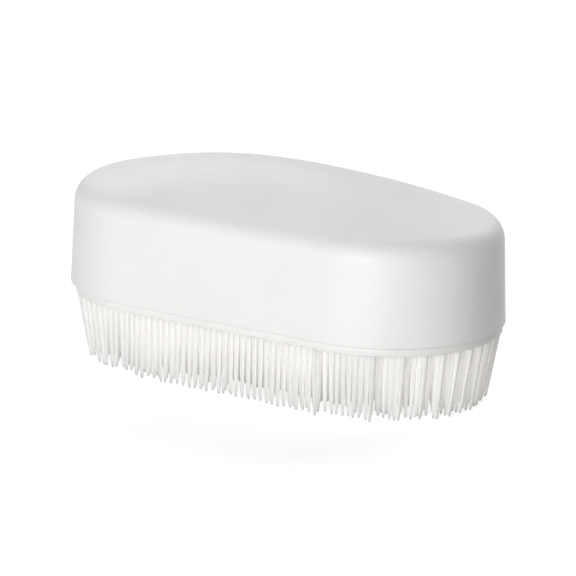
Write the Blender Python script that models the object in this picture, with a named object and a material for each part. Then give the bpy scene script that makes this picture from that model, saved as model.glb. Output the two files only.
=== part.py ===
"""A hand brush for laundry, standing on its bristles.

A crowned hollow casing sits on a bristle pad whose pins stand in fifteen straight rows. Inside,
four screws hold a support plate to the casing, and split studs hold the pad to the plate.
X runs along the brush, Y across it and Z up. The bristle tips stand on Z = 0.
"""

import math
import random

import bmesh
import bpy
from mathutils import Matrix, Vector

MM = 0.001

# Overall size
LENGTH = 120 * MM
WIDTH = 60 * MM
HEIGHT = 55 * MM

# Clearance between pieces that touch
GAP = 0.3 * MM

# Outline: two half circles joined by straight sides
END_RADIUS = WIDTH / 2
STRAIGHT_HALF = (LENGTH - WIDTH) / 2
END_STEPS = 20
SIDE_STEPS = 6

# Casing
LIP_Z = 19.8 * MM
LIP_INSET = 0.3 * MM
LIP_ROUND = 0.6 * MM
LIP_STEPS = 2
DRAFT = 0.7 * MM
SIDE_TOP = 40.8 * MM
EDGE_ROUND = 6.0 * MM
EDGE_STEPS = 4
CROWN_RINGS = (0.93, 0.83, 0.7, 0.54, 0.36, 0.17)
WALL = 2.2 * MM
CAVITY_LIP_INSET = 2.4 * MM
CAVITY_EDGE_ROUND = EDGE_ROUND - WALL

# Screw bosses and cross ribs inside the casing
BOSS_X = 38 * MM
BOSS_Y = 13 * MM
BOSS_RADIUS = 3.6 * MM
RIB_THICKNESS = 1.6 * MM
RIB_BOTTOM = 34 * MM

# Support plate, a shallow tray inside the casing's mouth
PLATE_INSET = 3.0 * MM
PLATE_THICKNESS = 2.6 * MM
PLATE_BOTTOM = LIP_Z
PLATE_TOP = PLATE_BOTTOM + PLATE_THICKNESS
FLANGE_HEIGHT = 3.4 * MM
FLANGE_THICKNESS = 1.5 * MM

# Screws
SCREW_RADIUS = 1.3 * MM
SCREW_LENGTH = 12 * MM
SCREW_POINT = 1.6 * MM
SCREW_HEAD_RADIUS = 2.7 * MM
SCREW_HEAD_HEIGHT = 1.3 * MM
RECESS_LENGTH = 2.8 * MM
RECESS_WIDTH = 0.7 * MM
RECESS_DEPTH = 0.7 * MM

# Bristle pad
ROW_COUNT = 15
ROW_PITCH = 4.2 * MM
EDGE_ROW_Y = 27.6 * MM
EDGE_ROW_HALF = 27 * MM
PAD_INSET = 1.35 * MM
PAD_TOP = LIP_Z - GAP
PAD_THICKNESS = 1.8 * MM
PAD_BOTTOM = PAD_TOP - PAD_THICKNESS
PIN_PITCH = 3.5 * MM
PIN_ROOT = 1.5 * MM
PIN_TIP = 0.7 * MM
PIN_BURIED = 0.8 * MM
PIN_EDGE_MARGIN = 1 * MM
TIP_CUT = 0.5 * MM
SHORT_PINS = 0.5
SHORT_BY = (0.2 * MM, 0.9 * MM)
END_LEAN = math.radians(10.5)
SIDE_LEAN = math.radians(4)
STRAY_LEAN = math.radians(1.2)
STRAY_TWIST = math.radians(15)
SEED = 7

# Split studs on three of the rows
STUD_PLACES = {3: (-18 * MM, 18 * MM), 8: (-44 * MM, 44 * MM), 13: (-18 * MM, 18 * MM)}
STUD_RADIUS = 1.7 * MM
STUD_HEAD_RADIUS = 2.3 * MM
STUD_HEAD_HEIGHT = 1.4 * MM
STUD_TOP_RADIUS = 1.2 * MM
STUD_SPLIT = 0.7 * MM

# Cutters reach past what they cut
OVERSHOOT = 2 * MM
ROUND_SIDES = 16


def clear_scene():
    for obj in list(bpy.data.objects):
        bpy.data.objects.remove(obj)


def new_collection(name):
    collection = bpy.data.collections.new(name)
    bpy.context.scene.collection.children.link(collection)
    return collection


def plastic(name, colour, roughness, metallic=0.0):
    material = bpy.data.materials.new(name)
    material.use_nodes = True
    shader = material.node_tree.nodes["Principled BSDF"]
    shader.inputs["Base Color"].default_value = (*colour, 1.0)
    shader.inputs["Roughness"].default_value = roughness
    shader.inputs["Metallic"].default_value = metallic
    return material


def piece(name, bm, collection, material=None):
    """Puts a finished bmesh into the scene as one named object."""
    bmesh.ops.recalc_face_normals(bm, faces=bm.faces)
    mesh = bpy.data.meshes.new(name)
    bm.to_mesh(mesh)
    bm.free()
    obj = bpy.data.objects.new(name, mesh)
    collection.objects.link(obj)
    if material:
        mesh.materials.append(material)
    return obj


def cutter(name, bm):
    obj = piece(name, bm, CUTTERS)
    obj.hide_render = True
    obj.display_type = "WIRE"
    return obj


def boolean(obj, operation, other):
    modifier = obj.modifiers.new(other.name, "BOOLEAN")
    modifier.operation = operation
    modifier.object = other
    modifier.solver = "EXACT"


def smooth(obj):
    obj.data.shade_smooth()
    obj.data.set_sharp_from_angle(angle=math.radians(35))


def outline_places():
    """Points round the long outline, counter-clockwise: each one's centre along X and the way it faces."""
    turn = math.pi / END_STEPS
    places = []
    for side in (1, -1):
        first = -side * math.pi / 2
        places += [(side * STRAIGHT_HALF, first + turn * i) for i in range(END_STEPS + 1)]
        for i in range(1, SIDE_STEPS):
            places.append((side * STRAIGHT_HALF * (1 - 2 * i / SIDE_STEPS), first + math.pi))
    return [(x, Vector((math.cos(a), math.sin(a)))) for x, a in places]


def outline(inset):
    return [Vector((x, 0)) + n * (END_RADIUS - inset) for x, n in outline_places()]


def ring(inset, z):
    return [Vector((p.x, p.y, z)) for p in outline(inset)]


def ellipse_ratio(point, half_length, half_width):
    """How far out the ellipse of these half axes lies in the point's direction, against the point."""
    return 1 / math.hypot(point.x / half_length, point.y / half_width)


def crowned_rings(side_inset, side_top, edge_round, top):
    """The rounded upper edge and the crown, whose rings shrink from the outline's shape to an ellipse."""
    start = outline(side_inset)
    half_width = END_RADIUS - side_inset - edge_round / 2
    half_length = STRAIGHT_HALF + half_width
    turns = []
    for p, (_, n) in zip(start, outline_places()):
        inward = 3 - 2 * ellipse_ratio(p - n * edge_round / 2, half_length, half_width)
        reach = (p.dot(n) - edge_round / 2) * inward
        turns.append(math.pi / 2 - math.atan(2 * (top - side_top - edge_round) / reach))
    rings = []
    for step in range(1, EDGE_STEPS + 1):
        points = []
        for p, (_, n), turn in zip(start, outline_places(), turns):
            a = turn * step / EDGE_STEPS
            flat = p - n * edge_round * (1 - math.cos(a))
            points.append(Vector((flat.x, flat.y, side_top + edge_round * math.sin(a))))
        rings.append(points)
    shoulder = rings[-1]
    half_length = max(p.x for p in shoulder)
    half_width = max(p.y for p in shoulder)
    for share in CROWN_RINGS:
        points = []
        for p in shoulder:
            ratio = ellipse_ratio(p, half_length, half_width)
            scale = share * (share**2 + (1 - share**2) * ratio)
            points.append(Vector((p.x * scale, p.y * scale, p.z + (top - p.z) * (1 - share**2))))
        rings.append(points)
    return rings


def loft(rings, apex=None):
    """A closed skin over rings of equal count: the first is capped, the last meets the apex or a cap."""
    bm = bmesh.new()
    loops = [[bm.verts.new(p) for p in points] for points in rings]
    count = len(loops[0])
    bm.faces.new(reversed(loops[0]))
    for low, high in zip(loops, loops[1:]):
        for i in range(count):
            j = (i + 1) % count
            bm.faces.new((low[i], low[j], high[j], high[i]))
    if apex is None:
        bm.faces.new(loops[-1])
    else:
        tip = bm.verts.new(apex)
        for i in range(count):
            bm.faces.new((loops[-1][i], loops[-1][(i + 1) % count], tip))
    return bm


def add_box(bm, low, high):
    size = Vector(high) - Vector(low)
    centre = (Vector(high) + Vector(low)) / 2
    place = Matrix.Translation(centre) @ Matrix.Diagonal((*size, 1))
    bmesh.ops.create_cube(bm, size=1, matrix=place)


def add_cone(bm, x, y, low, high, low_radius, high_radius):
    place = Matrix.Translation((x, y, (low + high) / 2))
    bmesh.ops.create_cone(
        bm,
        cap_ends=True,
        segments=ROUND_SIDES,
        radius1=low_radius,
        radius2=high_radius,
        depth=high - low,
        matrix=place,
    )


def screw_places():
    return [(sx * BOSS_X, sy * BOSS_Y) for sx in (-1, 1) for sy in (-1, 1)]


def make_casing(material):
    outer = []
    for step in range(LIP_STEPS + 1):
        a = math.pi / 2 * step / LIP_STEPS
        outer.append(ring(LIP_INSET * (1 - math.sin(a)), LIP_Z + LIP_ROUND * (1 - math.cos(a))))
    outer.append(ring(DRAFT, SIDE_TOP))
    outer += crowned_rings(DRAFT, SIDE_TOP, EDGE_ROUND, HEIGHT)
    casing = piece("casing", loft(outer, Vector((0, 0, HEIGHT))), PARTS, material)

    # The hollow, less the bosses and cross ribs that stay
    inner = [ring(CAVITY_LIP_INSET, LIP_Z - OVERSHOOT), ring(CAVITY_LIP_INSET, LIP_Z + LIP_ROUND)]
    inner.append(ring(DRAFT + WALL, SIDE_TOP))
    inner += crowned_rings(DRAFT + WALL, SIDE_TOP, CAVITY_EDGE_ROUND, HEIGHT - WALL)
    hollow = cutter("casing_hollow", loft(inner, Vector((0, 0, HEIGHT - WALL))))

    boss_bottom = PLATE_TOP + GAP
    for number, (x, y) in enumerate(screw_places(), 1):
        bm = bmesh.new()
        add_cone(bm, x, y, boss_bottom, HEIGHT, BOSS_RADIUS, BOSS_RADIUS)
        boolean(hollow, "DIFFERENCE", cutter(f"casing_boss_{number}", bm))
    for number, x in enumerate((-BOSS_X, BOSS_X), 1):
        bm = bmesh.new()
        low = (x - RIB_THICKNESS / 2, -WIDTH / 2, RIB_BOTTOM)
        add_box(bm, low, (x + RIB_THICKNESS / 2, WIDTH / 2, HEIGHT))
        boolean(hollow, "DIFFERENCE", cutter(f"casing_rib_{number}", bm))
    boolean(casing, "DIFFERENCE", hollow)

    bm = bmesh.new()
    for x, y in screw_places():
        top = screw_tip_z() + OVERSHOOT
        add_cone(bm, x, y, boss_bottom - OVERSHOOT, top, SCREW_RADIUS + GAP, SCREW_RADIUS + GAP)
    boolean(casing, "DIFFERENCE", cutter("casing_screw_holes", bm))
    smooth(casing)


def make_support_plate(material):
    flange_top = PLATE_TOP + FLANGE_HEIGHT
    plate = piece("support_plate", loft([ring(PLATE_INSET, PLATE_BOTTOM), ring(PLATE_INSET, flange_top)]),
                  PARTS, material)
    tray_inset = PLATE_INSET + FLANGE_THICKNESS
    tray = loft([ring(tray_inset, PLATE_TOP), ring(tray_inset, flange_top + OVERSHOOT)])
    boolean(plate, "DIFFERENCE", cutter("plate_tray", tray))

    bm = bmesh.new()
    hole_low = PLATE_BOTTOM - OVERSHOOT
    hole_high = PLATE_TOP + OVERSHOOT
    for x, y in screw_places():
        add_cone(bm, x, y, hole_low, hole_high, SCREW_RADIUS + GAP, SCREW_RADIUS + GAP)
    for row, places in STUD_PLACES.items():
        for x in places:
            add_cone(bm, x, row_y(row), hole_low, hole_high, STUD_RADIUS + GAP, STUD_RADIUS + GAP)
    boolean(plate, "DIFFERENCE", cutter("plate_holes", bm))

    bm = bmesh.new()
    for x, y in screw_places():
        head_radius = SCREW_HEAD_RADIUS + GAP
        add_cone(bm, x, y, hole_low, screw_head_top() + GAP, head_radius, head_radius)
    boolean(plate, "DIFFERENCE", cutter("plate_head_pockets", bm))
    smooth(plate)


def screw_head_top():
    return PLATE_BOTTOM + SCREW_HEAD_HEIGHT


def screw_tip_z():
    return screw_head_top() + SCREW_LENGTH


def make_screws(material):
    """Each screw is a turned profile with a cross recess in its head, which faces down."""
    tip = screw_tip_z()
    profile = [
        (0, tip),
        (SCREW_RADIUS, tip - SCREW_POINT),
        (SCREW_RADIUS, screw_head_top()),
        (SCREW_HEAD_RADIUS, screw_head_top()),
        (SCREW_HEAD_RADIUS, PLATE_BOTTOM + GAP),
        (SCREW_HEAD_RADIUS - GAP, PLATE_BOTTOM),
        (0, PLATE_BOTTOM),
    ]
    for number, (x, y) in enumerate(screw_places(), 1):
        bm = bmesh.new()
        verts = [bm.verts.new((r, 0, z)) for r, z in profile]
        for a, b in zip(verts, verts[1:]):
            bm.edges.new((a, b))
        bmesh.ops.spin(
            bm,
            geom=bm.verts[:] + bm.edges[:],
            axis=(0, 0, 1),
            cent=(0, 0, 0),
            steps=ROUND_SIDES,
            angle=2 * math.pi,
            use_merge=True,
        )
        bmesh.ops.remove_doubles(bm, verts=bm.verts, dist=0.001 * MM)
        bmesh.ops.translate(bm, verts=bm.verts, vec=(x, y, 0))
        screw = piece(f"screw_{number}", bm, PARTS, material)
        for direction, (half_x, half_y) in enumerate(
            ((RECESS_LENGTH / 2, RECESS_WIDTH / 2), (RECESS_WIDTH / 2, RECESS_LENGTH / 2)), 1
        ):
            bm = bmesh.new()
            low = (x - half_x, y - half_y, PLATE_BOTTOM - OVERSHOOT)
            add_box(bm, low, (x + half_x, y + half_y, PLATE_BOTTOM + RECESS_DEPTH))
            boolean(screw, "DIFFERENCE", cutter(f"screw_{number}_recess_{direction}", bm))
        smooth(screw)


def is_edge_row(row):
    """The first and last rows stand along the straight sides only, at the pad's very edge."""
    return row in (1, ROW_COUNT)


def row_y(row):
    """Rows count from 1 at the front. All but the two edge rows are evenly spaced."""
    from_middle = row - (ROW_COUNT + 1) / 2
    if is_edge_row(row):
        return math.copysign(EDGE_ROW_Y, from_middle)
    return from_middle * ROW_PITCH


def slice_outline(row):
    """The stretch of the pad's outline that one row's slice keeps, with the slits left open."""
    radius = END_RADIUS - PAD_INSET
    low, high = -radius, radius
    if row > 1:
        low = (row_y(row - 1) + row_y(row) + GAP) / 2
    if row < ROW_COUNT:
        high = (row_y(row) + row_y(row + 1) - GAP) / 2
    steps = 4
    ys = [low + (high - low) * i / steps for i in range(steps + 1)]
    right = [(STRAIGHT_HALF + math.sqrt(max(radius**2 - y**2, 0)), y) for y in ys]
    left = [(-x, y) for x, y in reversed(right)]
    return right + left


def pin_places(row):
    """Even places along a row, with the end pins close to the pad's edge."""
    reach = END_RADIUS - PAD_INSET - PIN_EDGE_MARGIN
    end = EDGE_ROW_HALF if is_edge_row(row) else STRAIGHT_HALF + math.sqrt(reach**2 - row_y(row) ** 2)
    count = round(2 * end / PIN_PITCH)
    return [-end + 2 * end * i / count for i in range(count + 1)]


def add_pin(bm, x, y, rng):
    """One tapered four-sided pin, leaning in near the pad's ends and sides."""
    span_x = STRAIGHT_HALF + END_RADIUS
    tip_z = rng.uniform(*SHORT_BY) if rng.random() < SHORT_PINS else -TIP_CUT
    length = PAD_BOTTOM + PIN_BURIED - tip_z
    lean_x = -math.tan(END_LEAN) * (x / span_x) ** 3 + math.tan(rng.uniform(-STRAY_LEAN, STRAY_LEAN))
    lean_y = -math.tan(SIDE_LEAN) * (y / END_RADIUS) ** 3 + math.tan(rng.uniform(-STRAY_LEAN, STRAY_LEAN))
    corner = math.sqrt(2) / 2
    middle = PAD_BOTTOM + PIN_BURIED - length / 2
    twist = math.pi / 4 + rng.uniform(-STRAY_TWIST, STRAY_TWIST)
    made = bmesh.ops.create_cone(
        bm,
        cap_ends=True,
        segments=4,
        radius1=PIN_TIP * corner,
        radius2=PIN_ROOT * corner,
        depth=length,
        matrix=Matrix.Translation((x, y, middle)) @ Matrix.Rotation(twist, 4, "Z"),
    )
    for vert in made["verts"]:
        down = PAD_BOTTOM - vert.co.z
        vert.co.x += lean_x * down
        vert.co.y += lean_y * down


def cut_tips_flat(bm):
    """Takes off what hangs below Z = 0 and closes each pin with a flat tip."""
    geometry = bm.verts[:] + bm.edges[:] + bm.faces[:]
    bmesh.ops.bisect_plane(bm, geom=geometry, plane_co=(0, 0, 0), plane_no=(0, 0, 1), clear_inner=True)
    open_edges = [edge for edge in bm.edges if edge.is_boundary]
    bmesh.ops.holes_fill(bm, edges=open_edges, sides=4)


def make_bristle_rows(material):
    """The pad in fifteen slices, each with the row of pins that stands on it."""
    rng = random.Random(SEED)
    for row in range(1, ROW_COUNT + 1):
        y = row_y(row)
        corners = slice_outline(row)
        slab = loft([[Vector((px, py, z)) for px, py in corners] for z in (PAD_BOTTOM, PAD_TOP)])
        backing = piece(f"bristle_row_{row:02d}", slab, PARTS, material)

        pins = bmesh.new()
        for x in pin_places(row):
            add_pin(pins, x, y, rng)
        cut_tips_flat(pins)
        boolean(backing, "UNION", cutter(f"row_{row:02d}_pins", pins))

        for number, x in enumerate(STUD_PLACES.get(row, ()), 1):
            head_low = PLATE_TOP + GAP
            head_high = head_low + STUD_HEAD_HEIGHT
            bm = bmesh.new()
            add_cone(bm, x, y, PAD_TOP - PAD_THICKNESS / 2, head_low + GAP, STUD_RADIUS, STUD_RADIUS)
            boolean(backing, "UNION", cutter(f"row_{row:02d}_stud_{number}", bm))
            bm = bmesh.new()
            add_cone(bm, x, y, head_low, head_high, STUD_HEAD_RADIUS, STUD_TOP_RADIUS)
            boolean(backing, "UNION", cutter(f"row_{row:02d}_stud_head_{number}", bm))
            bm = bmesh.new()
            half = STUD_SPLIT / 2
            low = (x - half, y - ROW_PITCH, PLATE_BOTTOM + GAP)
            add_box(bm, low, (x + half, y + ROW_PITCH, head_high + OVERSHOOT))
            boolean(backing, "DIFFERENCE", cutter(f"row_{row:02d}_stud_split_{number}", bm))


clear_scene()
PARTS = new_collection("laundry_brush")
CUTTERS = new_collection("cutters")
CUTTERS.hide_render = True

make_casing(plastic("casing_white", (0.83, 0.83, 0.81), 0.5))
make_support_plate(plastic("plate_grey", (0.62, 0.62, 0.6), 0.55))
make_screws(plastic("screw_steel", (0.55, 0.55, 0.56), 0.35, 1.0))
make_bristle_rows(plastic("bristle_white", (0.86, 0.85, 0.82), 0.4))
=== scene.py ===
# %% [markdown]
# # A laundry brush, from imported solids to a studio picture
#
# The brush is a palm-sized scrubber: a smooth white casing that the hand rests on, and under it a pad
# with hundreds of thin tapered plastic pins. It stands on the tips of those pins.
#
# The solids of the part are loaded first, as a frame that never moves. Everything made here sits where
# that frame says, in metres, with +X along the brush, +Y across it and +Z up.

import math

import bmesh
import bpy
from mathutils import Matrix, Vector


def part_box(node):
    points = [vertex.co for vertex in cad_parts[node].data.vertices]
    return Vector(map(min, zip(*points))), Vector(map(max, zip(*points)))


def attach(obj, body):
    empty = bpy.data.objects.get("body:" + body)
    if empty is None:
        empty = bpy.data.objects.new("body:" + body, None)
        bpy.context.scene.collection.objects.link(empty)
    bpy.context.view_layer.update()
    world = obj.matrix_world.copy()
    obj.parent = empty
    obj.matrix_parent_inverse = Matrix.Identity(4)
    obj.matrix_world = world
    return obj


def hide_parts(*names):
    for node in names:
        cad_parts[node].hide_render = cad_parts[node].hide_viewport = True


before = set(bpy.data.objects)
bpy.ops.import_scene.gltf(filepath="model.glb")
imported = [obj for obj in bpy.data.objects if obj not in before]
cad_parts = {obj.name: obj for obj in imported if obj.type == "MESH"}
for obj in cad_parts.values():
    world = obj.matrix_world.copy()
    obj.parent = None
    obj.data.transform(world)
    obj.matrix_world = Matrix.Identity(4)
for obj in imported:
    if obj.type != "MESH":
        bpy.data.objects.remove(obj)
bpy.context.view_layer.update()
print("nodes in the frame:", len(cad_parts))

# %% [markdown]
# ## Sizes that everything shares
#
# Seen from above, the brush is a long round shape: two half circles joined by straight sides. Its
# length, width and height can be read from the casing's box, so nothing here has to be fitted. The
# smaller sizes below, such as walls, rounds and gaps, are usual ones for moulded plastic.

# %% Measure the casing
MM = 0.001
casing_low, casing_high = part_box("casing")
END_RADIUS = (casing_high.y - casing_low.y) / 2
STRAIGHT_HALF = (casing_high.x - casing_low.x) / 2 - END_RADIUS
TOP = casing_high.z
LIP_Z = casing_low.z
GAP = 0.3 * MM


def in_mm(length):
    """A length in millimetres, rounded for printing."""
    return round(length / MM, 2)


print("half circle radius", in_mm(END_RADIUS), "mm, straight half", in_mm(STRAIGHT_HALF), "mm")
print("lip at", in_mm(LIP_Z), "mm, top at", in_mm(TOP), "mm")

# %% [markdown]
# ## Writing node trees as sums
#
# Both the shapes and the finishes below are node trees, and both are mostly arithmetic. Written node by
# node, arithmetic is hard to read. A small class fixes that: it wraps an output socket and answers to
# Python's own operators, so that `1 - mask` or `x * x + y * y` adds the Math nodes by itself.
#
# The reflected forms, such as `__rsub__`, are what make `1 - mask` work when the number comes first.

# %% Sockets that do arithmetic
class Socket:
    """A node's output, ready for Python sums. Each operator adds one Math node."""

    def __init__(self, tree, socket):
        self.tree = tree
        self.socket = socket

    def out(self, name):
        """Another output of the same node."""
        return Socket(self.tree, self.socket.node.outputs[name])

    def math(self, operation, *others):
        return self.tree.add("ShaderNodeMath", {"operation": operation}, dict(enumerate((self, *others))))

    def reflected(self, operation, other):
        return self.tree.add("ShaderNodeMath", {"operation": operation}, {0: other, 1: self})

    def __add__(self, other):
        return self.math("ADD", other)

    def __radd__(self, other):
        return self.reflected("ADD", other)

    def __sub__(self, other):
        return self.math("SUBTRACT", other)

    def __rsub__(self, other):
        return self.reflected("SUBTRACT", other)

    def __mul__(self, other):
        return self.math("MULTIPLY", other)

    def __rmul__(self, other):
        return self.reflected("MULTIPLY", other)

    def __truediv__(self, other):
        return self.math("DIVIDE", other)

    def __rtruediv__(self, other):
        return self.reflected("DIVIDE", other)

    def __pow__(self, power):
        return self.math("POWER", power)

    def sin(self):
        return self.math("SINE")

    def cos(self):
        return self.math("COSINE")

    def root(self):
        """The square root."""
        return self.math("SQRT")

    def size(self):
        """The value without its sign."""
        return self.math("ABSOLUTE")

    def share(self, low, high):
        """How far the value has come from low to high, held between 0 and 1."""
        values = {"Value": self, "From Min": low, "From Max": high}
        return self.tree.add("ShaderNodeMapRange", {"clamp": True}, values)


class Tree:
    """A node tree. Its one method, add, makes any node: settings go in first, then values and links."""

    def __init__(self, nodes):
        self.nodes = nodes.nodes
        self.links = nodes.links

    def add(self, kind, settings=None, values=None):
        node = self.nodes.new(kind)
        for name, setting in (settings or {}).items():
            setattr(node, name, setting)
        usable = [socket for socket in node.inputs if socket.enabled]
        for key, value in (values or {}).items():
            socket = usable[key] if isinstance(key, int) else next(s for s in usable if s.name == key)
            if isinstance(value, Socket):
                self.links.new(value.socket, socket)
            else:
                socket.default_value = value
        shown = [socket for socket in node.outputs if socket.enabled]
        return Socket(self, shown[0]) if shown else None


print("sockets add, subtract, multiply, divide and take powers")

# %% [markdown]
# ## Growing a mesh from a Geometry Nodes tree
#
# A tree describes a shape by rule. To get a plain mesh out of it, the tree goes on an empty object as a
# modifier, its inputs are filled in, and the evaluated result is copied. The inputs are filled through
# each socket's identifier, because the modifier doesn't know them by name.
#
# Most of the arithmetic is on places, so two helpers take a vector apart into its three numbers and put
# three numbers together into a vector.

# %% Start a tree, and grow its mesh
INPUT_KINDS = {float: "NodeSocketFloat", int: "NodeSocketInt"}


def shape_tree(name, sizes):
    """A Geometry Nodes tree with one named input for each size, and those inputs as sockets."""
    group = bpy.data.node_groups.new(name, "GeometryNodeTree")
    group.interface.new_socket(name="Geometry", in_out="OUTPUT", socket_type="NodeSocketGeometry")
    for size, value in sizes.items():
        group.interface.new_socket(name=size, in_out="INPUT", socket_type=INPUT_KINDS[type(value)])
    tree = Tree(group)
    inputs = tree.add("NodeGroupInput")
    return tree, {size: inputs.out(size) for size in sizes}


def apart(tree, vector):
    """The X, Y and Z of a vector, as three sockets."""
    split = tree.add("ShaderNodeSeparateXYZ", values={0: vector})
    return [split.out(axis) for axis in "XYZ"]


def together(tree, x, y, z):
    return tree.add("ShaderNodeCombineXYZ", values={"X": x, "Y": y, "Z": z})


def position(tree):
    """Where each vertex or point is at this stage of the tree."""
    return apart(tree, tree.add("GeometryNodeInputPosition"))


def finish_tree(tree, geometry, material):
    """Every tree ends the same way: smooth shading, real geometry, one material."""
    smooth = tree.add("GeometryNodeSetShadeSmooth", values={"Geometry": geometry})
    real = tree.add("GeometryNodeRealizeInstances", values={"Geometry": smooth})
    finished = tree.add("GeometryNodeSetMaterial", values={"Geometry": real, "Material": material})
    tree.add("NodeGroupOutput", values={"Geometry": finished})


def grow(name, tree_name, sizes):
    """Runs a tree with these sizes and keeps the result as a plain object at the origin."""
    group = bpy.data.node_groups[tree_name]
    host = bpy.data.objects.new("host", bpy.data.meshes.new("host"))
    bpy.context.scene.collection.objects.link(host)
    modifier = host.modifiers.new("shape", "NODES")
    modifier.node_group = group
    for item in group.interface.items_tree:
        if item.in_out == "INPUT":
            modifier[item.identifier] = sizes[item.name]
    depsgraph = bpy.context.evaluated_depsgraph_get()
    mesh = bpy.data.meshes.new_from_object(host.evaluated_get(depsgraph), depsgraph=depsgraph)
    bpy.data.objects.remove(host)
    mesh.name = name
    piece = bpy.data.objects.new(name, mesh)
    bpy.context.scene.collection.objects.link(piece)
    print(name, "has", len(mesh.vertices), "vertices and", len(mesh.polygons), "faces")
    return piece


print("a tree's inputs can be", " or ".join(kind.__name__ for kind in INPUT_KINDS))

# %% [markdown]
# ## White moulded plastic
#
# The casing is matte white plastic from a finely etched mould. Up close such a surface has a faint
# grain, a slightly uneven sheen where the plastic flowed, and light goes a little way into it, which
# softens its shadows. So the colour stays almost even, while roughness and a very fine bump do the work.
#
# All patterns read Object coordinates, which are metres on the object itself. The grain then stays in
# place from every angle, and its scale can be given in real sizes: a Noise scale of 1 / 0.3 mm gives
# grains about 0.3 mm across.

# %% Materials from one starting point
CLOUD_SIZE = 22 * MM
CLOUD_DETAIL = 2.0
CLOUD_RANGE = (0.35, 0.65)
FLOW_SIZE = 6 * MM
FLOW_DETAIL = 3.0
FLOW_RANGE = (0.3, 0.7)
SHEEN_SPREAD = 0.08
GRAIN_DETAIL = 1.0
GRAIN_STRENGTH = 0.5
SCATTER_TINT = (1.0, 0.9, 0.8)


def new_material(name):
    """An empty material, its tree, and its Object coordinates."""
    material = bpy.data.materials.new(name)
    material.use_nodes = True
    material.node_tree.nodes.clear()
    tree = Tree(material.node_tree)
    place = tree.add("ShaderNodeTexCoord").out("Object")
    return material, tree, place


def noise(tree, place, size, detail):
    """Noise whose features are about this size, in metres."""
    return tree.add("ShaderNodeTexNoise", values={"Vector": place, "Scale": 1 / size, "Detail": detail})


def blend_colours(tree, factor, low, high):
    """A colour that goes from low to high as the factor goes from 0 to 1."""
    values = {"Factor": factor, "A": (*low, 1), "B": (*high, 1)}
    return tree.add("ShaderNodeMix", {"data_type": "RGBA"}, values)


def plastic(name, low, high, roughness, grain, depth, scatter, scatter_depth):
    """Moulded plastic: two close colours in soft clouds, uneven sheen, and a fine grain."""
    material, tree, place = new_material(name)
    clouds = noise(tree, place, CLOUD_SIZE, CLOUD_DETAIL).share(*CLOUD_RANGE)
    flow = noise(tree, place, FLOW_SIZE, FLOW_DETAIL).share(*FLOW_RANGE)
    bump = tree.add("ShaderNodeBump", values={
        "Strength": GRAIN_STRENGTH, "Distance": depth, "Height": noise(tree, place, grain, GRAIN_DETAIL),
    })
    shader = tree.add("ShaderNodeBsdfPrincipled", values={
        "Base Color": blend_colours(tree, clouds, low, high),
        "Roughness": flow * SHEEN_SPREAD + (roughness - SHEEN_SPREAD / 2),
        "Normal": bump,
        "Subsurface Weight": scatter,
        "Subsurface Radius": SCATTER_TINT,
        "Subsurface Scale": scatter_depth,
    })
    tree.add("ShaderNodeOutputMaterial", values={"Surface": shader})
    return material


casing_plastic = plastic(
    "casing_plastic", low=(0.86, 0.86, 0.845), high=(0.88, 0.88, 0.868), roughness=0.5,
    grain=0.35 * MM, depth=0.012 * MM, scatter=0.12, scatter_depth=1.5 * MM,
)
print("made", casing_plastic.name)

# %% [markdown]
# ## The casing's skin, by rule
#
# The casing is one smooth form with a rule: the same long round outline at every height. From the lip
# up, a small round swings out to full width, the side leans in by a hair so that the moulding leaves
# its tool, a tight round turns the side over into the top, and the crown rises from there in a shallow
# dome. Over the dome, the outline melts from the long round shape at the edge to an ellipse in the
# middle, so no crease runs along the top.
#
# It could be cut from a box with bevels, or sculpted, but then the dome would show dents where edges
# meet. A formula gives each vertex its exact place.

# %% The skin's sizes
SKIN_AROUND = 288
LIP_RINGS = 6
SIDE_RINGS = 4
EDGE_RINGS = 12
CROWN_RINGS = 26
ALL_RINGS = LIP_RINGS + SIDE_RINGS + EDGE_RINGS + CROWN_RINGS
MERGE_DISTANCE = 0.005 * MM

OUTER_SKIN = {
    "End radius": END_RADIUS,
    "Straight half": STRAIGHT_HALF,
    "Wall": 0.0,
    "Lip height": LIP_Z,
    "Lip inset": 0.2 * MM,
    "Lip round": 0.4 * MM,
    "Draft": 0.7 * MM,
    "Side top": 40.8 * MM,
    "Edge round": 6.0 * MM,
    "Top": TOP,
}
print("the skin has", ALL_RINGS, "steps from lip to crown, and", SKIN_AROUND, "vertices round each ring")

# %% [markdown]
# The tree starts from an open cylinder, which brings a closed seam, rings and an order of faces for
# free, and moves each vertex: its angle picks the place along the outline, and its ring picks the
# height.
#
# The hard spot is where the upper round meets the crown. The crown's slope there follows from how fast
# its rings close in, which is 3 - 2 * oval times as fast as their share falls. The round stops turning
# at just that slope, and so no edge shows.

# %% The skin's tree
def edge_turn(drop, reach):
    """The angle at which the upper round meets a crown that falls by drop over this reach."""
    return math.pi / 2 - (2 * drop / reach).math("ARCTANGENT")


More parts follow.
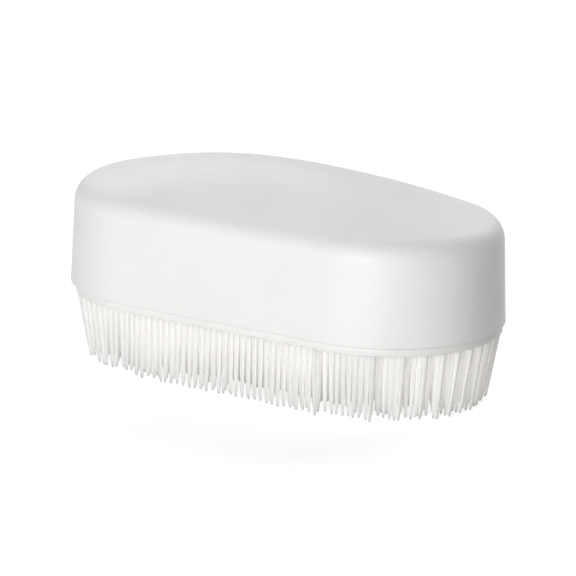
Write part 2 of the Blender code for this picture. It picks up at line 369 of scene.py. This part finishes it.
def make_skin_tree(material):
    tree, size = shape_tree("casing_skin", OUTER_SKIN)
    radius, straight, wall, draft = (size[n] for n in ("End radius", "Straight half", "Wall", "Draft"))
    lip_z, lip_inset, lip_round = (size[n] for n in ("Lip height", "Lip inset", "Lip round"))
    side_top, edge, top = (size[n] for n in ("Side top", "Edge round", "Top"))

    blank = tree.add("GeometryNodeMeshCylinder", {"fill_type": "NONE"}, {
        "Vertices": SKIN_AROUND, "Side Segments": ALL_RINGS, "Radius": 1.0, "Depth": 1.0,
    })
    x, y, z = position(tree)
    ring = (z + 0.5) * ALL_RINGS

    # Along the outline: a quarter turn runs from the end's tip, round the arc, along the straight side
    quarter = y.size().math("ARCTAN2", x.size()) / (math.pi / 2)
    run = quarter * (radius * (math.pi / 2) + straight)
    facing = (run / radius).math("MINIMUM", math.pi / 2)
    centre = straight - (run - radius * (math.pi / 2)).math("MAXIMUM", 0.0)

    # Up the section: lip round, side, upper round
    first_side = LIP_RINGS
    first_edge = first_side + SIDE_RINGS
    first_crown = first_edge + EDGE_RINGS
    lip = ring.share(0, first_side) * (math.pi / 2)
    side = ring.share(first_side, first_edge)
    drop = top - side_top - edge
    half_width = radius - wall - draft - edge / 2
    half_length = straight + half_width
    middle_x = centre + half_width * facing.cos()
    middle_y = half_width * facing.sin()
    oval = 1 / ((middle_x / half_length) ** 2 + (middle_y / half_width) ** 2).root()
    reach = (centre * facing.cos() + half_width) * (3 - 2 * oval)
    turn = edge_turn(drop, reach) * ring.share(first_edge, first_crown)
    inset = wall + lip_inset * (1 - lip.sin()) + draft * side + edge * (1 - turn.cos())
    straight_side = side_top - lip_z - lip_round
    height = lip_z + lip_round * (1 - lip.cos()) + straight_side * side + edge * turn.sin()

    # Over the crown: rings shrink, and pass from the outline's shape to an ellipse
    out_x = centre + (radius - inset) * facing.cos()
    out_y = (radius - inset) * facing.sin()
    oval_length = half_length + edge / 2 - edge * (1 - edge_turn(drop, half_length).cos())
    oval_width = half_width + edge / 2 - edge * (1 - edge_turn(drop, half_width).cos())
    oval = 1 / ((out_x / oval_length) ** 2 + (out_y / oval_width) ** 2).root()
    share = 1 - ring.share(first_crown, ALL_RINGS)
    square = share * share
    scale = share * (square + (1 - square) * oval)
    moved_x = x.math("SIGN") * out_x * scale
    moved_y = y.math("SIGN") * out_y * scale
    moved = together(tree, moved_x, moved_y, height + (top - height) * (1 - square))
    skin = tree.add("GeometryNodeSetPosition", values={"Geometry": blank, "Position": moved})
    closed = tree.add("GeometryNodeMergeByDistance", values={"Geometry": skin, "Distance": MERGE_DISTANCE})
    finish_tree(tree, closed, material)
    print("the skin's tree has", len(tree.nodes), "nodes")


make_skin_tree(casing_plastic)
casing_shell = grow("casing_shell", "casing_skin", OUTER_SKIN)

# %% [markdown]
# ## A wall inside the skin
#
# The casing is hollow, with a wall of about 2 mm. The same tree grows the inner skin with smaller
# sizes. Its faces are turned to point into the hollow, and a strip of faces joins both skins at the
# mouth. That leaves one closed shell, which is what a printer or a physics engine expects.

# %% Close the shell
WALL = 2.2 * MM
MOUTH_INSET = 2.4 * MM
INNER_SKIN = OUTER_SKIN | {
    "Wall": MOUTH_INSET,
    "Lip inset": 0.0,
    "Draft": OUTER_SKIN["Draft"] + WALL - MOUTH_INSET,
    "Edge round": OUTER_SKIN["Edge round"] - WALL,
    "Top": TOP - WALL,
}


def close_shell(outer, inner):
    """Joins an inner skin to the outer one, turned round, with a strip of faces at the mouth."""
    bm = bmesh.new()
    bm.from_mesh(inner.data)
    bmesh.ops.reverse_faces(bm, faces=bm.faces)
    bm.from_mesh(outer.data)
    mouths = [edge for edge in bm.edges if edge.is_boundary]
    strip = bmesh.ops.bridge_loops(bm, edges=mouths)["faces"]
    for face in strip:
        if face.normal.z > 0:
            face.normal_flip()
    bm.to_mesh(outer.data)
    bm.free()
    bpy.data.objects.remove(inner)
    return len(strip)


inner_skin = grow("inner_skin", "casing_skin", INNER_SKIN)
print("faces at the mouth:", close_shell(casing_shell, inner_skin))

# %% [markdown]
# ## Joining and cutting
#
# Inside, four round bosses take the screws and two ribs brace the crown. Nobody sees them in the
# picture, but they are why the brush doesn't creak. They join the shell with a Boolean union, and each
# boss is drilled. The same few tools serve the bosses here and the pad's studs later: round and square
# solids made in a bmesh, and one function that joins or cuts a piece with them.

# %% Simple solids, and a Boolean
ROUND_SIDES = 48
SCREWS = ["screw_1", "screw_2", "screw_3", "screw_4"]


def middle_of(node):
    low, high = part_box(node)
    return (low + high) / 2


def cone(bm, centre, low, high, low_radius, high_radius, sides=ROUND_SIDES):
    place = Matrix.Translation((centre.x, centre.y, (low + high) / 2))
    bmesh.ops.create_cone(bm, cap_ends=True, segments=sides, radius1=low_radius, radius2=high_radius,
                          depth=high - low, matrix=place)


def cylinder(bm, centre, low, high, radius, sides=ROUND_SIDES):
    cone(bm, centre, low, high, radius, radius, sides)


def box(bm, low, high):
    place = Matrix.Translation((low + high) / 2) @ Matrix.Diagonal((*(high - low), 1))
    bmesh.ops.create_cube(bm, size=1, matrix=place)


def combine(piece, operation, bm):
    """Joins or cuts a piece with the shapes in bm, and keeps the result as its mesh."""
    mesh = bpy.data.meshes.new("tool")
    bm.to_mesh(mesh)
    bm.free()
    tool = bpy.data.objects.new("tool", mesh)
    bpy.context.scene.collection.objects.link(tool)
    modifier = piece.modifiers.new("combine", "BOOLEAN")
    modifier.operation = operation
    modifier.solver = "EXACT"
    modifier.object = tool
    depsgraph = bpy.context.evaluated_depsgraph_get()
    result = bpy.data.meshes.new_from_object(piece.evaluated_get(depsgraph), depsgraph=depsgraph)
    piece.modifiers.remove(modifier)
    piece.data = result
    bpy.data.objects.remove(tool)


screw_middles = [middle_of(name) for name in SCREWS]
print("screws stand at", [(in_mm(centre.x), in_mm(centre.y)) for centre in screw_middles])

# %% [markdown]
# A boss has to end in the crown, whose height changes from place to place. A ray sent up from below
# finds the inner skin, and the boss goes a little way into the wall so that the two join cleanly.

# %% Bosses
PLATE_THICKNESS = 2.6 * MM
PLATE_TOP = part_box("support_plate")[0].z + PLATE_THICKNESS
BOSS_RADIUS = 3.6 * MM
BOSS_FOOT = PLATE_TOP + GAP
RIB_BOTTOM = 34 * MM
INTO_WALL = 1 * MM


def ceiling(x, y):
    """The height of the shell's inner skin over a point, found by looking up at it."""
    _, where, _, _ = casing_shell.ray_cast(Vector((x, y, RIB_BOTTOM)), Vector((0, 0, 1)))
    return where.z


def add_bosses():
    bosses = bmesh.new()
    for centre in screw_middles:
        cylinder(bosses, centre, BOSS_FOOT, ceiling(centre.x, centre.y) + INTO_WALL, BOSS_RADIUS)
    combine(casing_shell, "UNION", bosses)


add_bosses()
print("with its bosses the shell has", len(casing_shell.data.polygons), "faces")

# %% [markdown]
# A rib follows the crown too, and here the skin's tree helps once more. It grows a solid the size of
# the hollow and a little larger, and a thin upright slab cut to that solid is a rib that bites into the
# wall all along its edge.

# %% Ribs
RIB_THICKNESS = 1.6 * MM
PLACE_DIGITS = 5


def add_ribs():
    larger = {"Wall": INNER_SKIN["Wall"] - INTO_WALL, "Top": INNER_SKIN["Top"] + INTO_WALL}
    limit = grow("rib_limit", "casing_skin", INNER_SKIN | larger)
    bm = bmesh.new()
    bm.from_mesh(limit.data)
    bmesh.ops.holes_fill(bm, edges=[edge for edge in bm.edges if edge.is_boundary])
    bm.to_mesh(limit.data)
    bm.free()
    slabs = bmesh.new()
    for x in sorted({round(centre.x, PLACE_DIGITS) for centre in screw_middles}):
        low = Vector((x - RIB_THICKNESS / 2, -END_RADIUS, RIB_BOTTOM))
        high = Vector((x + RIB_THICKNESS / 2, END_RADIUS, TOP))
        box(slabs, low, high)
    combine(limit, "INTERSECT", slabs)
    ribs = bmesh.new()
    ribs.from_mesh(limit.data)
    bpy.data.objects.remove(limit)
    combine(casing_shell, "UNION", ribs)


add_ribs()
print("with its ribs it has", len(casing_shell.data.polygons), "faces")

# %% [markdown]
# Each screw goes up into its boss. The hole goes on past the screw's tip, and the tool that cuts it
# starts below the boss, so that no thin skin is left at its foot. Booleans leave flat shading where
# they cut, and a smooth shading that keeps true edges sharp puts that right.

# %% Screw holes
HOLE_RADIUS = 1.6 * MM
HOLE_SPARE = 2 * MM
HOLE_SIDES = 32
SHARP_ANGLE = math.radians(40)


def drill_holes():
    holes = bmesh.new()
    for name, centre in zip(SCREWS, screw_middles):
        hole_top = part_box(name)[1].z + HOLE_SPARE
        cylinder(holes, centre, BOSS_FOOT - HOLE_SPARE, hole_top, HOLE_RADIUS, HOLE_SIDES)
    combine(casing_shell, "DIFFERENCE", holes)


def smooth(piece):
    """Smooth shading, except across true edges."""
    piece.data.shade_smooth()
    piece.data.set_sharp_from_angle(angle=SHARP_ANGLE)


drill_holes()
smooth(casing_shell)
print("drilled, it has", len(casing_shell.data.polygons), "faces")

# %% [markdown]
# ## The bristle pad
#
# All the pins grow from one thin flat moulding, and its rim shows as a narrow band under the casing's
# lip, with a hairline seam above it. A flat outline, raised and with its edges rounded by a Bevel, is
# all that the pad itself needs. It sits 0.3 mm off the middle, for a reason that the studs give below.

# %% Pad
PAD_INSET = 0.95 * MM
PAD_SHIFT = GAP
SEAM = 0.04 * MM
RIM_BELOW_LIP = 2.1 * MM
PAD_TOP = LIP_Z - SEAM
PAD_BOTTOM = LIP_Z - RIM_BELOW_LIP
PAD_THICKNESS = PAD_TOP - PAD_BOTTOM
PAD_EDGE = 0.2 * MM
PAD_EDGE_STEPS = 3
ROUND_PROFILE = 0.5
ARC_STEPS = 48

pad_plastic = plastic(
    "pad_plastic", low=(0.855, 0.85, 0.832), high=(0.87, 0.865, 0.85), roughness=0.45,
    grain=0.3 * MM, depth=0.008 * MM, scatter=0.3, scatter_depth=2 * MM,
)


def long_round(radius, z):
    """The outline at a given radius: two half circles and the straight sides between them."""
    points = []
    for side in (1, -1):
        for step in range(ARC_STEPS + 1):
            angle = -side * math.pi / 2 + math.pi * step / ARC_STEPS
            x = PAD_SHIFT + side * STRAIGHT_HALF + radius * math.cos(angle)
            points.append(Vector((x, radius * math.sin(angle), z)))
    return points


def make_pad(material):
    bm = bmesh.new()
    outline = [bm.verts.new(point) for point in long_round(END_RADIUS - PAD_INSET, PAD_BOTTOM)]
    lower_face = bm.faces.new(outline)
    raised = bmesh.ops.extrude_face_region(bm, geom=[lower_face])["geom"]
    corners = [item for item in raised if isinstance(item, bmesh.types.BMVert)]
    bmesh.ops.translate(bm, verts=corners, vec=(0, 0, PAD_THICKNESS))
    bmesh.ops.recalc_face_normals(bm, faces=bm.faces)
    rims = [edge for edge in bm.edges if abs(edge.verts[0].co.z - edge.verts[1].co.z) < PAD_THICKNESS / 2]
    bmesh.ops.bevel(bm, geom=rims, offset=PAD_EDGE, segments=PAD_EDGE_STEPS, profile=ROUND_PROFILE,
                    affect="EDGES")
    mesh = bpy.data.meshes.new("bristle_pad")
    bm.to_mesh(mesh)
    bm.free()
    mesh.materials.append(material)
    pad = bpy.data.objects.new("bristle_pad", mesh)
    bpy.context.scene.collection.objects.link(pad)
    return pad


bristle_pad = make_pad(pad_plastic)
print("the pad has", len(bristle_pad.data.polygons), "faces")

# %% [markdown]
# On the pad's back stand six studs that snap through holes in the plate. Each is a post with a head that
# is wider below than above, and a slit down the middle lets the two halves spring together on the way
# in. They are joined on and slit by the same Booleans that served the casing, and they end as high as
# those of the solids do, on the strip of row 8. The studs have a little play in their holes, and on
# this brush the whole pad sits at the right end of that play.

# %% Split studs
STUD_PLACES = [(x * MM, y * MM) for x, y in ((-18, -21), (18, -21), (-44, 0), (44, 0), (-18, 21), (18, 21))]
STUD_RADIUS = 1.7 * MM
STUD_HEAD_LOW = PLATE_TOP + GAP
STUD_HEAD_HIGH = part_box("bristle_row_08")[1].z
STUD_HEAD_RADII = (2.3 * MM, 1.2 * MM)
STUD_SLIT = 0.7 * MM


def add_studs(pad):
    posts = bmesh.new()
    heads = bmesh.new()
    slits = bmesh.new()
    for x, y in STUD_PLACES:
        centre = Vector((x + PAD_SHIFT, y, 0))
        cylinder(posts, centre, PAD_TOP - PAD_THICKNESS / 2, STUD_HEAD_LOW + GAP, STUD_RADIUS)
        cone(heads, centre, STUD_HEAD_LOW, STUD_HEAD_HIGH, *STUD_HEAD_RADII)
        reach = Vector((STUD_SLIT / 2, 2 * STUD_RADIUS, 0))
        slit_low = centre - reach + Vector((0, 0, PAD_TOP + 2 * GAP))
        slit_high = centre + reach + Vector((0, 0, STUD_HEAD_HIGH + GAP))
        box(slits, slit_low, slit_high)
    combine(pad, "UNION", posts)
    combine(pad, "UNION", heads)
    combine(pad, "DIFFERENCE", slits)


add_studs(bristle_pad)
smooth(bristle_pad)
print("with its studs it has", len(bristle_pad.data.polygons), "faces")

# %% [markdown]
# ## The pins' plastic
#
# The pins are the same plastic as the pad, but so thin that light passes from one into the next. That
# fills the spaces between them with a soft warm white, after many more bounces than a renderer follows.
# Full subsurface scattering gives the part of it that stays inside one pin. The rest is painted light: a
# weak glow, only where a surface is hidden among other pins, which an Ambient Occlusion node finds.

# %% Thin plastic, with a painted glow
GLOW_REACH = 5 * MM
GLOW_SAMPLES = 16
PIN_PAINTED_GLOW = 0.32
NO_GLOW = (0.0, 0.0, 0.0)
WARM_PAINTED_GLOW = (1.0, 0.985, 0.955)
PIN_SPECULAR = 0.2


def thin_plastic(name, low, high):
    """Plastic for thin pins: light goes right through it, and hidden surfaces get a little painted glow."""
    material = plastic(name, low, high, roughness=0.6, grain=0.2 * MM, depth=0.004 * MM,
                       scatter=1.0, scatter_depth=3.0 * MM)
    tree = Tree(material.node_tree)
    settings = {"only_local": True, "samples": GLOW_SAMPLES}
    open_sky = tree.add("ShaderNodeAmbientOcclusion", settings, {"Distance": GLOW_REACH}).out("AO")
    glow = blend_colours(tree, 1 - open_sky, NO_GLOW, WARM_PAINTED_GLOW)
    shader = next(node for node in tree.nodes if node.bl_idname == "ShaderNodeBsdfPrincipled")
    # Painted light: an emission glow where the surface is hidden among other pins, standing in for light
    # bounced between them
    tree.links.new(glow.socket, shader.inputs["Emission Color"])
    shader.inputs["Emission Strength"].default_value = PIN_PAINTED_GLOW
    shader.inputs["Specular IOR Level"].default_value = PIN_SPECULAR
    return material


pin_plastic = thin_plastic("pin_plastic", low=(0.845, 0.835, 0.813), high=(0.86, 0.85, 0.828))
print("made", pin_plastic.name)

# %% [markdown]
# ## Hundreds of pins, by rule
#
# The pins stand in fifteen straight rows along the brush. Thirteen of them are 4.2 mm apart, and each
# runs from one round end of the pad to the other, with its first and last pins at the very edge. One
# more row stands along each straight side, close to the rim. Along every row the pins are a little
# under 2 mm apart. Each pin is moulded: it flares a little where it leaves the pad, tapers to a little
# over half its width, and ends in a blunt point. Use has left each one leaning and bent by its own small
# amount. Those near the two ends lean in towards the middle, and those at one end are a little shorter.
#
# Real sizes go in as the tree's named inputs. A lean is a slope: sideways travel for each metre down.

# %% The pins' sizes
PIN_SIDES = 8
PIN_RINGS = 7
PIN_BURIED = 0.4 * MM
TIP_CLEAR = 0.05 * MM
PINS = {
    "Rows": 15,
    "Row pitch": 4.2 * MM,
    "Edge row": 28.15 * MM,
    "Edge row half": 27.0 * MM,
    "Most in a row": 68,
    "Pin pitch": 1.78 * MM,
    "Reach": 28.1 * MM,
    "Shift": PAD_SHIFT,
    "Straight half": STRAIGHT_HALF,
    "Root height": PAD_BOTTOM + PIN_BURIED,
    "Length": PAD_BOTTOM + PIN_BURIED - TIP_CLEAR,
    "Root radius": 0.71 * MM,
    "Tip radius": 0.41 * MM,
    "Flare": 0.05 * MM,
    "End lean": math.tan(math.radians(9.5)),
    "Side lean": math.tan(math.radians(1.5)),
    "Stray lean": math.tan(math.radians(0.5)),
    "Stray bend": 0.016,
    "Shortest by": 0.8 * MM,
    "Worn end by": 1.3 * MM,
    "Seed": 7,
}
print("a pin is", in_mm(PINS["Length"]), "mm long")
print("its root is", in_mm(2 * PINS["Root radius"]), "mm thick")

# %% [markdown]
# A particle system could scatter pins, but they aren't scattered. Geometry Nodes makes the rows
# directly. Points get their row and column from their index, and the row sets y and how far the row
# reaches. The column shares that length out, and points past a row's last pin are deleted.

# %% Points in rows
def row_points(tree, size):
    rows, columns, reach = size["Rows"], size["Most in a row"], size["Reach"]
    index = tree.add("GeometryNodeInputIndex")
    row = (index / columns).math("FLOOR")
    column = index - row * columns
    from_middle = row - (rows - 1) / 2
    on_edge = from_middle.size().math("GREATER_THAN", rows / 2 - 1)
    inner_y = from_middle * size["Row pitch"]
    edge_y = from_middle.math("SIGN") * size["Edge row"]
    y = inner_y * (1 - on_edge) + edge_y * on_edge
    round_end = size["Straight half"] + (reach ** 2 - y ** 2).math("MAXIMUM", 0.0).root()
    half = round_end * (1 - on_edge) + size["Edge row half"] * on_edge
    steps = (2 * half / size["Pin pitch"]).math("ROUND")
    x = half * (2 * column / steps - 1)
    root = together(tree, x + size["Shift"], y, size["Root height"])
    points = tree.add("GeometryNodePoints", values={"Count": rows * columns, "Position": root})
    past_last = (column - steps).math("GREATER_THAN", 0.5)
    values = {"Geometry": points, "Selection": past_last}
    return tree.add("GeometryNodeDeleteGeometry", {"domain": "POINT"}, values)


print("room for", PINS["Rows"] * PINS["Most in a row"], "points")

# %% [markdown]
# Each point carries what its pin needs later: how it leans and bends, and by how much it is short. The
# lean towards the middle grows quickly near the rim, and a small stray lean is added. The numbers are
# written on the points under a name, because a pin's own vertices have to read them afterwards.

# %% What each pin carries
LEAN_RISE = 3


def random_value(tree, low, high, seed):
    values = {"Min": low, "Max": high, "Seed": seed}
    return tree.add("FunctionNodeRandomValue", {"data_type": "FLOAT"}, values)


def keep(tree, geometry, name, x, y, z):
    """Writes three numbers on each point under a name."""
    values = {"Geometry": geometry, "Name": name, "Value": together(tree, x, y, z)}
    settings = {"data_type": "FLOAT_VECTOR", "domain": "POINT"}
    return tree.add("GeometryNodeStoreNamedAttribute", settings, values)


def kept(tree, name):
    """Reads the three numbers back."""
    settings = {"data_type": "FLOAT_VECTOR"}
    return apart(tree, tree.add("GeometryNodeInputNamedAttribute", settings, {"Name": name}))


def load_points(tree, size, points):
    seed, stray, bend = size["Seed"], size["Stray lean"], size["Stray bend"]
    straight, reach = size["Straight half"], size["Reach"]
    x, y, _ = position(tree)
    x = x - size["Shift"]
    out_x = (x.size() - straight).math("MAXIMUM", 0.0) / reach
    out_y = y / reach
    near_rim = (out_x * out_x + out_y * out_y).root() ** LEAN_RISE
    inward_x = size["End lean"] * x.math("SIGN") * out_x * near_rim
    side_lean = size["Side lean"] + (size["End lean"] - size["Side lean"]) * out_x
    inward_y = side_lean * out_y * near_rim
    lean_x = random_value(tree, -1 * stray, stray, seed) - inward_x
    lean_y = random_value(tree, -1 * stray, stray, seed + 1) - inward_y
    worn = size["Worn end by"] * (0.5 - 0.5 * x / (straight + reach))
    short = random_value(tree, 0.0, size["Shortest by"], seed + 2) + worn
    bend_x = random_value(tree, -1 * bend, bend, seed + 3)
    bend_y = random_value(tree, -1 * bend, bend, seed + 4)
    points = keep(tree, points, "lean", lean_x, lean_y, short)
    return keep(tree, points, "bend", bend_x, bend_y, 0.0)


print("the lean towards the middle rises with the power", LEAN_RISE, "of the way out")

# %% [markdown]
# One pin is drawn once, as a closed cylinder whose rings sit closer together at the flared root and at
# the blunt tip, where the shape turns fastest. It is placed on every point, and only when all copies
# are real is each one leaned and bent by the numbers of its own point.

# %% One pin, and all of them
FLARE_SHARE = 0.1
TIP_NARROWING = 0.4
TIP_BLUNTNESS = 40


def one_pin(tree, size):
    blank = tree.add("GeometryNodeMeshCylinder", {"fill_type": "NGON"}, {
        "Vertices": PIN_SIDES, "Side Segments": PIN_RINGS, "Radius": 1.0, "Depth": 1.0,
    })
    x, y, z = position(tree)
    down = 0.5 - 0.5 * ((0.5 - z) * math.pi).cos()
    taper = size["Root radius"] + (size["Tip radius"] - size["Root radius"]) * down
    flare = size["Flare"] * (1 - down.share(0.0, FLARE_SHARE)) ** 2
    radius = (taper + flare) * (1 - TIP_NARROWING * down ** TIP_BLUNTNESS)
    shaped = together(tree, x * radius, y * radius, down * size["Length"] * -1)
    return tree.add("GeometryNodeSetPosition", values={"Geometry": blank, "Position": shaped})


def bend_pins(tree, size, pins):
    _, _, z = position(tree)
    drop = size["Root height"] - z
    way = drop / size["Length"]
    lean_x, lean_y, short = kept(tree, "lean")
    bend_x, bend_y, _ = kept(tree, "bend")
    shift = together(tree, drop * (lean_x + bend_x * way), drop * (lean_y + bend_y * way), short * way)
    return tree.add("GeometryNodeSetPosition", values={"Geometry": pins, "Offset": shift})


def make_pin_tree(material):
    tree, size = shape_tree("pins", PINS)
    points = load_points(tree, size, row_points(tree, size))
    pin = one_pin(tree, size)
    placed = tree.add("GeometryNodeInstanceOnPoints", values={"Points": points, "Instance": pin})
    real = tree.add("GeometryNodeRealizeInstances", values={"Geometry": placed})
    finish_tree(tree, bend_pins(tree, size, real), material)
    print("the pins' tree has", len(tree.nodes), "nodes")


make_pin_tree(pin_plastic)
bristle_pins = grow("bristle_pins", "pins", PINS)
for name in ("lean", "bend"):
    bristle_pins.data.attributes.remove(bristle_pins.data.attributes[name])
faces_per_pin = PIN_SIDES * PIN_RINGS + 2
print("pins:", len(bristle_pins.data.polygons) // faces_per_pin)

# %% [markdown]
# ## Plate and screws
#
# The support plate and the screws have their true shapes in the solids already, so they keep those
# meshes and only get a finish. The plate is grey moulded plastic, plainer than the casing because
# nobody sees it. The screws are zinc-plated steel, which has a fine crystalline sheen.

# %% Hidden pieces
CRYSTAL_SIZE = 0.5 * MM
ZINC_COLOURS = ((0.5, 0.51, 0.52), (0.62, 0.63, 0.64))
ZINC_ROUGHNESS = 0.25
ZINC_SPREAD = 0.15


def zinc(name):
    """Plated steel: bright metal whose sheen changes from one small crystal to the next."""
    material, tree, place = new_material(name)
    values = {"Vector": place, "Scale": 1 / CRYSTAL_SIZE}
    crystals = tree.add("ShaderNodeTexVoronoi", values=values).out("Color")
    tone = tree.add("ShaderNodeSeparateColor", values={0: crystals})
    shader = tree.add("ShaderNodeBsdfPrincipled", values={
        "Base Color": blend_colours(tree, tone, *ZINC_COLOURS),
        "Roughness": tone * ZINC_SPREAD + ZINC_ROUGHNESS,
        "Metallic": 1.0,
    })
    tree.add("ShaderNodeOutputMaterial", values={"Surface": shader})
    return material


def refinish(node, material):
    """Gives a CAD node a better material, in the slot that it has."""
    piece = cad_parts[node]
    if piece.material_slots:
        piece.material_slots[0].material = material
    else:
        piece.data.materials.append(material)


plate_plastic = plastic(
    "plate_plastic", low=(0.58, 0.58, 0.56), high=(0.63, 0.63, 0.61), roughness=0.55,
    grain=0.5 * MM, depth=0.03 * MM, scatter=0.0, scatter_depth=1 * MM,
)
refinish("support_plate", plate_plastic)
screw_zinc = zinc("screw_zinc")
for name in SCREWS:
    refinish(name, screw_zinc)
print("refinished", 1 + len(SCREWS), "hidden pieces")

# %% [markdown]
# ## Putting the new pieces in the frame
#
# Each new piece is attached to the body it moves with, and the solids that it stands for are hidden.
# Nothing on this brush moves, so there is one body, the root.

# %% Ride and replace
BRISTLE_ROWS = sorted(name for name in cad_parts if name.startswith("bristle_row_"))


def install(piece, slot, *nodes):
    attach(piece, "root")
    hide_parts(*nodes)


install(casing_shell, "casing_white", "casing")
install(bristle_pad, "bristle_white", *BRISTLE_ROWS)
install(bristle_pins, "bristle_white", *BRISTLE_ROWS)
print("rows replaced:", len(BRISTLE_ROWS))

# %% [markdown]
# ## The camera
#
# The photograph was taken with a long lens from the front, to the right, and a little above. The
# numbers come from fitting the outline of the brush. A distance of about 1.6 m with a narrow view gives
# the photograph's weak perspective, and the camera is rolled by about one degree. At the point that it
# aims at, 60 mm measures 237.5 pixels in the picture, and that point isn't quite in its middle.

# %% Camera
FRAME_PIXELS = 576
FOCAL_PIXELS = 6500
SCALE_LENGTH = 60 * MM
SCALE_PIXELS = 237.5
AZIMUTH = math.radians(33.44)
ELEVATION = math.radians(14.95)
ROLL = math.radians(1.1)
AIM = Vector((0, 0, 25.2 * MM))
AIM_PIXEL = (286.54, 278.27)
SENSOR = 36.0
NEAREST_SEEN = 0.05
FARTHEST_SEEN = 20


def direction(azimuth, elevation):
    """From the brush out to a place round it. Azimuth is 0 in front and grows towards the right."""
    level = math.cos(elevation)
    return Vector((math.sin(azimuth) * level, -math.cos(azimuth) * level, math.sin(elevation)))


def make_camera():
    back = direction(AZIMUTH, ELEVATION)
    level_right = Vector((math.cos(AZIMUTH), math.sin(AZIMUTH), 0))
    level_up = back.cross(level_right)
    right = math.cos(ROLL) * level_right + math.sin(ROLL) * level_up
    up = math.cos(ROLL) * level_up - math.sin(ROLL) * level_right
    pixel = SCALE_LENGTH / SCALE_PIXELS
    off_x = FRAME_PIXELS / 2 - AIM_PIXEL[0]
    off_y = FRAME_PIXELS / 2 - AIM_PIXEL[1]
    distance = FOCAL_PIXELS * pixel
    place = AIM + right * off_x * pixel - up * off_y * pixel + back * distance
    data = bpy.data.cameras.new("camera")
    data.sensor_width = SENSOR
    data.lens = SENSOR * FOCAL_PIXELS / FRAME_PIXELS
    data.clip_start = NEAREST_SEEN
    data.clip_end = FARTHEST_SEEN
    camera = bpy.data.objects.new("camera", data)
    camera.matrix_world = Matrix.Translation(place) @ Matrix((right, up, back)).transposed().to_4x4()
    bpy.context.scene.collection.objects.link(camera)
    bpy.context.scene.camera = camera
    print("camera is", round(distance, 3), "m away, lens", round(data.lens, 1), "mm")


make_camera()

# %% [markdown]
# ## The floor
#
# The background of a catalogue picture is pure white. Lighting a floor until it is white would burn out
# a white object, so the floor gives off light of its own, but only to the camera and to surfaces that
# mirror or pass on a clear image. The light it throws on the brush stays that of a plain pale floor,
# and a faint soft shadow stays too.

# %% Floor
FLOOR_COLOUR = (0.75, 0.75, 0.75, 1)
FLOOR_GLOW = 0.6
FLOOR_HALF_WIDTH = 4
WHITE = (1, 1, 1, 1)


def in_sight(tree):
    """1 for rays from the camera, from a mirror or through glass, and 0 for all other light."""
    ray = tree.add("ShaderNodeLightPath")
    direct_or_mirrored = ray.out("Is Camera Ray").math("MAXIMUM", ray.out("Is Glossy Ray"))
    return direct_or_mirrored.math("MAXIMUM", ray.out("Is Transmission Ray"))


def make_floor():
    material, tree, _ = new_material("pale_floor")
    matt = tree.add("ShaderNodeBsdfDiffuse", values={"Color": FLOOR_COLOUR})
    strength = in_sight(tree) * FLOOR_GLOW
    glow = tree.add("ShaderNodeEmission", values={"Color": WHITE, "Strength": strength})
    both = tree.add("ShaderNodeAddShader", values={0: matt, 1: glow})
    tree.add("ShaderNodeOutputMaterial", values={"Surface": both})
    bm = bmesh.new()
    bmesh.ops.create_grid(bm, x_segments=1, y_segments=1, size=FLOOR_HALF_WIDTH)
    mesh = bpy.data.meshes.new("floor")
    bm.to_mesh(mesh)
    bm.free()
    mesh.materials.append(material)
    floor = bpy.data.objects.new("floor", mesh)
    bpy.context.scene.collection.objects.link(floor)


make_floor()
print("floor glow", FLOOR_GLOW)

# %% [markdown]
# ## The light
#
# The light on the brush comes from a large soft window in front of it, with two weaker lamps behind
# that draw the edge of the top. Seen from the camera, the window stands to the left, so the right end
# turns away from it and falls into shade, which is what shows its round shape. The world adds a low even
# light from all sides, and it too is white only where the camera or a mirror looks at it.

# %% Lamps and world
# For each lamp: azimuth and elevation in degrees, distance, width and height in metres, power in watts
LAMPS = {
    "window": (10, 12, 1.3, 0.75, 0.7, 13.5),
    "back": (180, 35, 1.3, 0.7, 0.7, 6.6),
    "left": (-130, 35, 1.3, 0.7, 0.7, 3.7),
}
WORLD_LEVEL = 0.175


def make_lamp(name, azimuth, elevation, distance, width, height, power):
    """A soft rectangular lamp that faces the brush and that the camera doesn't see."""
    data = bpy.data.lights.new(name, "AREA")
    data.shape = "RECTANGLE"
    data.size = width
    data.size_y = height
    data.energy = power
    lamp = bpy.data.objects.new(name, data)
    toward = direction(math.radians(azimuth), math.radians(elevation))
    turn = toward.to_track_quat("Z", "Y").to_matrix().to_4x4()
    lamp.matrix_world = Matrix.Translation(AIM + toward * distance) @ turn
    lamp.visible_camera = False
    bpy.context.scene.collection.objects.link(lamp)


def make_world():
    world = bpy.data.worlds.new("studio")
    bpy.context.scene.world = world
    world.use_nodes = True
    world.node_tree.nodes.clear()
    tree = Tree(world.node_tree)
    level = in_sight(tree) * (1 - WORLD_LEVEL) + WORLD_LEVEL
    light = tree.add("ShaderNodeBackground", values={"Color": WHITE, "Strength": level})
    tree.add("ShaderNodeOutputWorld", values={"Surface": light})


for name, values in LAMPS.items():
    make_lamp(name, *values)
make_world()
bpy.context.scene.view_settings.view_transform = "Standard"
print("lamps:", ", ".join(LAMPS))
